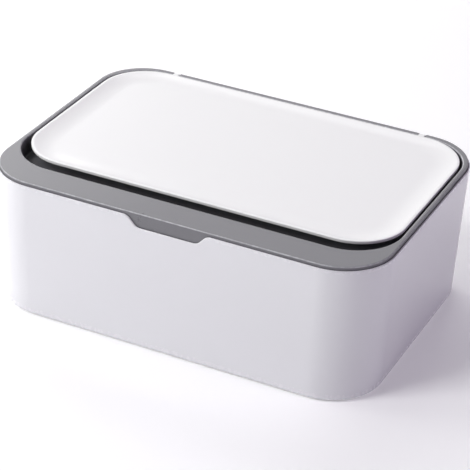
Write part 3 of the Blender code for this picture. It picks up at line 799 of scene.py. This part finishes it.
# Mouth insert. A soft rubbery moulding that snaps through the deck's hole, between a flange
# above and a barb below. Its crown rises to a long wavy slot that grips the next wipe.
INSERT_FLANGE = 0.0028
INSERT_THICKNESS = 0.0012
INSERT_ROUND = 0.0006
INSERT_CROWN = 0.0011
INSERT_CROWN_RUN = 0.0115
INSERT_WALL = 0.0016
INSERT_BARB = 0.0008
CROWN_STEPS = 8
SLOT_HALF_LENGTH = 0.034
SLOT_HALF_WIDTH = 0.0048
SLOT_END_RADIUS = 0.0046
SLOT_WAVE = 0.0011
SLOT_WAVE_PITCH = 0.0136
SLOT_WAVES_EACH_WAY = 2
SLOT_EDGE = 0.0003
SIDE_CUTS = 27
SOFT_GREY = (0.40, 0.40, 0.415)
SOFT_GREY_BLOOM = (0.47, 0.47, 0.48)
BLOOM_PATCH = 0.008
INSERT_GRAIN = 0.0004
INSERT_GRAIN_DEPTH = 0.00001

insert_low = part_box("mouth_insert")[0]
insert_foot = DECK_TOP + FIT_GAP
insert_brow = insert_foot + INSERT_THICKNESS
slot_top = insert_brow + INSERT_CROWN
barb_top = DECK_UNDERSIDE - FIT_GAP
flange_out = mouth_outline(INSERT_FLANGE, insert_foot)
waist = FIT_GAP + INSERT_FLANGE
slot_lip = (SLOT_HALF_LENGTH + SLOT_EDGE, SLOT_HALF_WIDTH + SLOT_EDGE, SLOT_END_RADIUS + SLOT_EDGE,
            slot_top, MOUTH_Y)


def crown(inset, height, run):
    """Places of a crown that climbs steeply at first and is level at its top."""
    for step in range(CROWN_STEPS + 1):
        share = step / CROWN_STEPS
        yield inset + run * share, height + INSERT_CROWN * math.sin(math.pi / 2 * share)


insert = begin_piece("soft_mouth")
lay_sheet(*flange_out, side_cuts=SIDE_CUTS)
top_places = [*rounding(INSERT_ROUND, insert_brow - INSERT_ROUND, INSERT_ROUND, 0, 90),
              *crown(INSERT_FLANGE, insert_brow, INSERT_CROWN_RUN)]
follow((0.0, insert_foot), *top_places)
open_end()
lay_sheet(*slot_lip, side_cuts=SIDE_CUTS)
follow(*rounding(0.0, slot_top - SLOT_EDGE, SLOT_EDGE, 90, 180),
       (SLOT_EDGE, slot_top - INSERT_THICKNESS))
open_end()
bridge((flange_out[0] - top_places[-1][0], slot_top), (slot_lip[0], slot_top), cuts=2)
lay_sheet(*flange_out, looks_down=True, side_cuts=SIDE_CUTS)
follow((0.0, insert_foot), (waist / 2, insert_foot), looks_down=True)
open_end()
lay_sheet(*mouth_outline(INSERT_BARB, barb_top), side_cuts=SIDE_CUTS)
follow((0.0, barb_top), (INSERT_BARB + FIT_GAP, barb_top), (INSERT_BARB + FIT_GAP, insert_foot))
open_end()
bridge((flange_out[0] - waist / 2, insert_foot), (MOUTH_HALF_LENGTH - FIT_GAP, insert_foot))
lay_sheet(*mouth_outline(-FIT_GAP, insert_low.z), looks_down=True, side_cuts=SIDE_CUTS)
crown_places = list(crown(INSERT_WALL, insert_foot, INSERT_CROWN_RUN - INSERT_WALL))
follow((0.0, insert_low.z), (INSERT_WALL, insert_low.z), *crown_places, looks_down=True)
open_end()
bridge((MOUTH_HALF_LENGTH + INSERT_BARB, barb_top), (MOUTH_HALF_LENGTH - FIT_GAP, insert_low.z))
under_reach = MOUTH_HALF_LENGTH - FIT_GAP - crown_places[-1][0]
bridge((under_reach, slot_top - INSERT_THICKNESS), (SLOT_HALF_LENGTH, slot_top - INSERT_THICKNESS),
       cuts=2)
for wave in range(-SLOT_WAVES_EACH_WAY, SLOT_WAVES_EACH_WAY + 1):
    pick("VERT", lambda place: abs(place.y - MOUTH_Y) < slot_lip[1] + SAME_PLACE
         and abs(place.x - wave * SLOT_WAVE_PITCH) < SLOT_WAVE)
    bpy.ops.transform.translate(value=(0, SLOT_WAVE * (-1) ** wave, 0), use_proportional_edit=True,
                                proportional_edit_falloff="SMOOTH",
                                proportional_size=SLOT_WAVE_PITCH)
close_piece()
smooth(insert)

paint = Paint("soft_grey_rubber", IOR=1.45)
bloom = paint.noise(BLOOM_PATCH, detail=5.0).fade(0.4, 0.7)
paint.feed(Base_Color=paint.blend(bloom, SOFT_GREY, SOFT_GREY_BLOOM),
           Roughness=0.52 + bloom * 0.14,
           Normal=paint.bump(paint.noise(INSERT_GRAIN, detail=3.0), INSERT_GRAIN_DEPTH))
place_piece(insert, paint, "cover", "mouth_insert")

# Hinge pins. Two drawn steel pins, one through each knuckle of the lid, pressed into the rim
# on both sides of its slot. Their ends are chamfered.
PIN_CHAMFER = 0.00015
STEEL = (0.56, 0.56, 0.57)
STEEL_DULL = (0.40, 0.395, 0.39)
DRAW_LINE = 0.00006
DRAW_LINE_DEPTH = 0.000002
DRAW_LINE_STRETCH = (60, 1, 1)
TARNISH_PATCH = 0.0015

pin = begin_piece("steel_pin_right")
bpy.ops.mesh.primitive_cylinder_add(vertices=PIN_SIDES, radius=PIN_RADIUS,
                                    depth=pin_high.x - pin_low.x,
                                    location=PIN_PLACE, rotation=(0, math.pi / 2, 0))
for end_x in (pin_low.x, pin_high.x):
    pick("FACE", lambda place: near(place.x, end_x))
    bpy.ops.mesh.bevel(offset=PIN_CHAMFER, segments=2)
close_piece()
bpy.ops.object.shade_smooth_by_angle(angle=SHARP)

paint = Paint("drawn_steel", Metallic=1.0)
draw_lines = paint.noise(DRAW_LINE, detail=3.0, stretch=DRAW_LINE_STRETCH)
tarnish = paint.noise(TARNISH_PATCH, detail=4.0).fade(0.45, 0.8)
paint.feed(Base_Color=paint.blend(tarnish * 0.6, STEEL, STEEL_DULL),
           Roughness=0.22 + draw_lines * 0.14 + tarnish * 0.15,
           Normal=paint.bump(draw_lines, DRAW_LINE_DEPTH))
left_pin = copy_piece(pin, "steel_pin_left", (-2 * PIN_PLACE.x, 0, 0))
place_piece(pin, paint, "cover", "hinge_pin_right")
place_piece(left_pin, paint, "cover", "hinge_pin_left")

# White lid. A thin glossy plate with a narrow flat border and a shallow dished middle. At each
# end of its rear edge an arm with a round knuckle reaches into the rim and turns on a pin.
LID_RADIUS = 0.024
LID_THICKNESS = 0.0015
LID_EDGE = 0.0003
LID_UNDERCUT = 0.00025
LID_BORDER = 0.0013
LID_CREASE = 0.0001
LID_BEFORE_HINGE = 0.002
DISH_RUN = 0.011
DISH_DEPTH = 0.0015
DISH_STEPS = 20
ARM_ROOT = 0.0011
ARM_SKIN = 0.00015
KNUCKLE_STEPS = 10
KNUCKLE_EDGE = 0.0001
LID_WHITE = (0.88, 0.884, 0.878)
LID_WHITE_WARM = (0.862, 0.86, 0.857)
LID_CLOUD = 0.05
LID_MOTTLE = 0.005
LID_WAVE = 0.04
LID_WAVE_DEPTH = 0.00005
LID_THUMB_PATCH = 0.009
LID_THUMB_FROM = -0.02
LID_THUMB_FULL = -0.042

lid_low, lid_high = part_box("lid_shell")
LID_TOP = lid_high.z
LID_UNDERSIDE = LID_TOP - LID_THICKNESS
LID_REAR = PIN_PLACE.y - LID_BEFORE_HINGE
LID_Y = (lid_low.y + LID_REAR) / 2
LID_SHAPE = (lid_high.x, (LID_REAR - lid_low.y) / 2, LID_RADIUS)


def dish(top):
    """Places down the dish: steepest at the border and level at its foot."""
    for step in range(DISH_STEPS + 1):
        share = step / DISH_STEPS
        yield LID_BORDER + DISH_RUN * share, top - DISH_DEPTH * (1 - (1 - share) ** 2)


lid = begin_piece("white_lid")
lay_sheet(*LID_SHAPE, LID_TOP - LID_EDGE, LID_Y)
follow(*rounding(LID_EDGE, LID_TOP - LID_EDGE, LID_EDGE, 0, 90),
       (LID_BORDER - LID_CREASE, LID_TOP), *dish(LID_TOP))
lay_sheet(*LID_SHAPE, LID_UNDERSIDE + LID_UNDERCUT, LID_Y, looks_down=True)
follow((0.0, LID_UNDERSIDE + LID_UNDERCUT), (LID_UNDERCUT, LID_UNDERSIDE), *dish(LID_UNDERSIDE),
       looks_down=True)
bridge((lid_high.x, LID_TOP - LID_EDGE), (lid_high.x, LID_UNDERSIDE + LID_UNDERCUT))
close_piece()

arm_low = Vector((PIN_PLACE.x - KNUCKLE_WIDTH / 2,
                  LID_REAR - ARM_ROOT,
                  PIN_PLACE.z - KNUCKLE_RADIUS))
arm_high = Vector((PIN_PLACE.x + KNUCKLE_WIDTH / 2,
                   PIN_PLACE.y + KNUCKLE_RADIUS,
                   PIN_PLACE.z + KNUCKLE_RADIUS))
arm_middle = (arm_low + arm_high) / 2
root_high = LID_TOP - ARM_SKIN
root_low = LID_UNDERSIDE + ARM_SKIN
for end_x in (-1, 1):
    arm = begin_piece("knuckle")
    bpy.ops.mesh.primitive_cube_add(size=1, location=arm_middle)
    bpy.ops.transform.resize(value=arm_high - arm_low, center_override=arm_middle)
    pick("EDGE", lambda place: near(place.y, arm_high.y) and near(place.x, PIN_PLACE.x))
    bpy.ops.mesh.bevel(offset=KNUCKLE_RADIUS - SAME_PLACE, segments=KNUCKLE_STEPS, profile=0.5)
    pick("FACE", lambda place: near(place.y, arm_low.y))
    root = Vector((PIN_PLACE.x, arm_low.y, PIN_PLACE.z))
    bpy.ops.transform.resize(value=(1, 1, (root_high - root_low) / (2 * KNUCKLE_RADIUS)),
                             center_override=root)
    bpy.ops.transform.translate(value=(0, 0, (root_high + root_low) / 2 - PIN_PLACE.z))
    bpy.ops.mesh.select_all(action="SELECT")
    bpy.ops.transform.translate(value=((end_x - 1) * PIN_PLACE.x, 0, 0))
    close_piece()
    cut(lid, arm, "UNION")
    drill(lid, (end_x * PIN_PLACE.x, PIN_PLACE.y, PIN_PLACE.z), PIN_RADIUS + PIN_CLEARANCE,
          KNUCKLE_WIDTH + 2 * OVERRUN, turn=(0, math.pi / 2, 0), sides=PIN_SIDES)
soften(lid, KNUCKLE_EDGE)

paint = Paint("lid_white", IOR=1.49)
cloud = paint.noise(LID_CLOUD, detail=3.0)
mottle = paint.noise(LID_MOTTLE, detail=4.0)
thumbed = (paint.along("Y").fade(LID_THUMB_FROM, LID_THUMB_FULL)
           * paint.noise(LID_THUMB_PATCH, detail=4.0).fade(0.42, 0.6))
paint.feed(
    Base_Color=paint.blend(cloud * 0.6 + mottle * 0.25, LID_WHITE, LID_WHITE_WARM),
    Roughness=0.17 + cloud * 0.05 + mottle * 0.03 + thumbed * 0.05,
    Normal=paint.bump(paint.noise(GLOSS_GRAIN, detail=3.0), GLOSS_GRAIN_DEPTH,
                      after=paint.bump(paint.noise(LID_WAVE, detail=1.0), LID_WAVE_DEPTH)))
place_piece(lid, paint, "lid", "lid_shell")

# Inner lid plate. A grey plate welded under the dish, which stiffens it. Two thin ribs round
# its edge hold the lid's seal between them.
LINER_RIB = 0.0012
LINER_RIB_DEPTH = 0.0016
LINER_EDGE = 0.0001
LINER_CLOUD = 0.03
LINER_GRAIN = 0.0005
LINER_GRAIN_DEPTH = 0.000008

liner_low, liner_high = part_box("lid_liner")
liner_underside = liner_low.z + LINER_RIB_DEPTH
groove_half = SEAL_WIDTH / 2 + FIT_GAP
liner_reach = groove_half + LINER_RIB
second_rib = liner_reach + groove_half
liner = begin_piece("lid_inner_plate")
lay_sheet(*seal_path(liner_reach, liner_high.z))
lay_sheet(*seal_path(liner_reach, liner_low.z), looks_down=True)
follow((0.0, liner_low.z), (LINER_RIB, liner_low.z), (LINER_RIB, liner_underside),
       (second_rib, liner_underside), (second_rib, liner_low.z),
       (second_rib + LINER_RIB, liner_low.z), (second_rib + LINER_RIB, liner_underside),
       looks_down=True)
liner_half_length = seal_path(liner_reach, 0.0)[0]
bridge((liner_half_length, liner_high.z), (liner_half_length, liner_low.z))
close_piece()
soften(liner, LINER_EDGE)

paint = Paint("inner_plate_grey", IOR=1.5)
cloud = paint.noise(LINER_CLOUD, detail=3.0)
grain = paint.noise(LINER_GRAIN, detail=2.0)
paint.feed(Base_Color=paint.blend(cloud * 0.5 + grain * 0.4, COVER_GREY, COVER_GREY_LIGHT),
           Roughness=0.42 + cloud * 0.08 + grain * 0.05,
           Normal=paint.bump(grain, LINER_GRAIN_DEPTH))
place_piece(liner, paint, "lid", "lid_liner")

# Lid seal. A milky silicone cord with a round nose, pressed between the inner plate's ribs. It
# closes on the collar round the mouth.
seal_nose = SEAL_WIDTH / 2
nose_middle = seal_low.z + seal_nose
lid_seal = begin_piece("lid_seal_ring")
lay_sheet(*seal_path(seal_nose, seal_high.z))
follow((0.0, seal_high.z), (SEAL_WIDTH, seal_high.z))
open_end()
lay_sheet(*seal_path(seal_nose, nose_middle), looks_down=True)
follow(*rounding(seal_nose, nose_middle, seal_nose, 0, -180, steps=2 * ROUND_STEPS),
       looks_down=True)
open_end()
bridge((seal_high.x, seal_high.z), (seal_high.x, nose_middle))
bridge((seal_high.x - SEAL_WIDTH, seal_high.z), (seal_high.x - SEAL_WIDTH, nose_middle))
close_piece()
soften(lid_seal, COVER_EDGE)
place_piece(lid_seal, silicone, "lid", "lid_seal")
